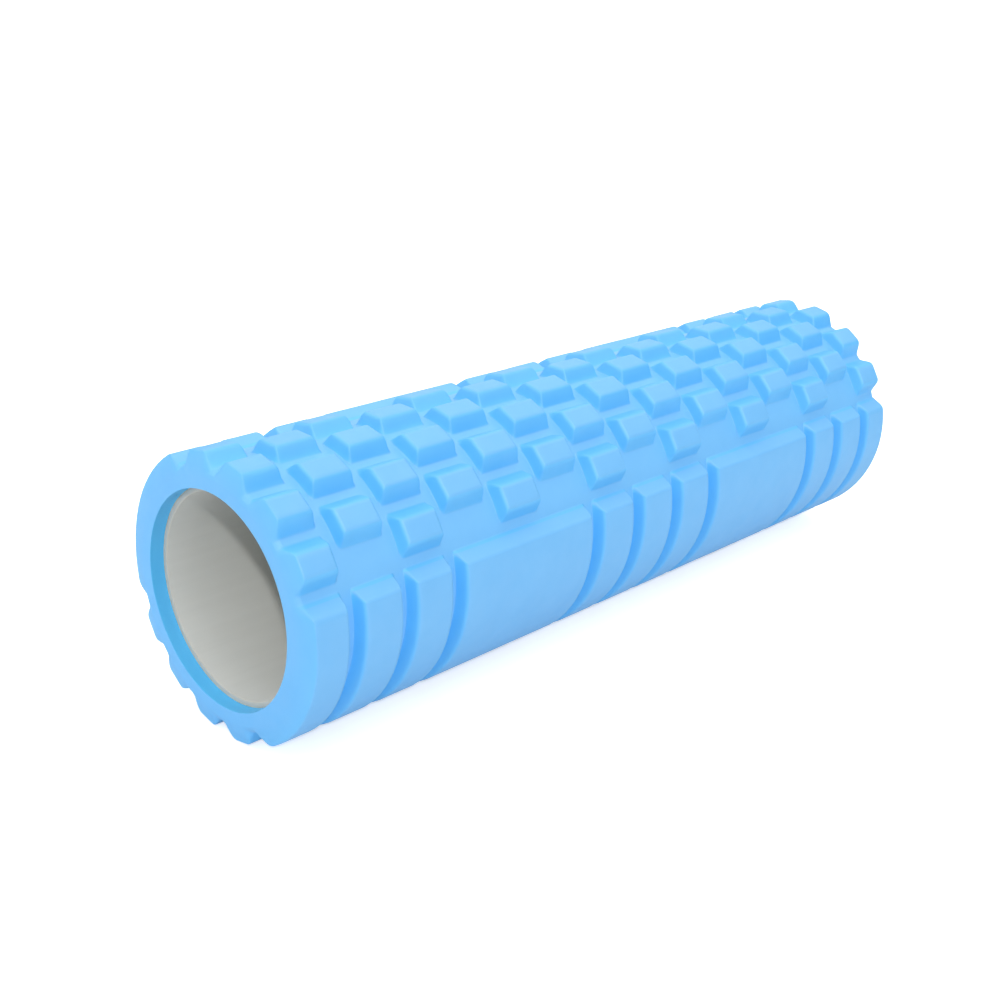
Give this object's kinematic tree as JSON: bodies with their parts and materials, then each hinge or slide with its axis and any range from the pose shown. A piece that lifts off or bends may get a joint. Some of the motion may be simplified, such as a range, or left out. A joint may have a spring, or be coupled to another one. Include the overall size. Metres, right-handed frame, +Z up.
{
  "type": "foam roller",
  "caption": "Hollow massage roller: rigid open core tube inside a thick foam sleeve whose moulded tread alternates zones of small blocks with zones of ribs and wide panels.",
  "frame": {"origin": "on the roller's axis at mid-length, which is the centre of its box", "axes": "+X along the roller's axis from one end to the other, +Z up when the roller lies on its side on a block top, -Y towards the front"},
  "size_m": [0.45, 0.136, 0.1356],
  "materials": {
    "foam": "matte",
    "tube": "satin",
    "cement": "matte"
  },
  "bodies": {
    "root": {"foam_sleeve": "foam", "core_tube": "tube", "bond_film": "cement"}
  },
  "joints": []
}
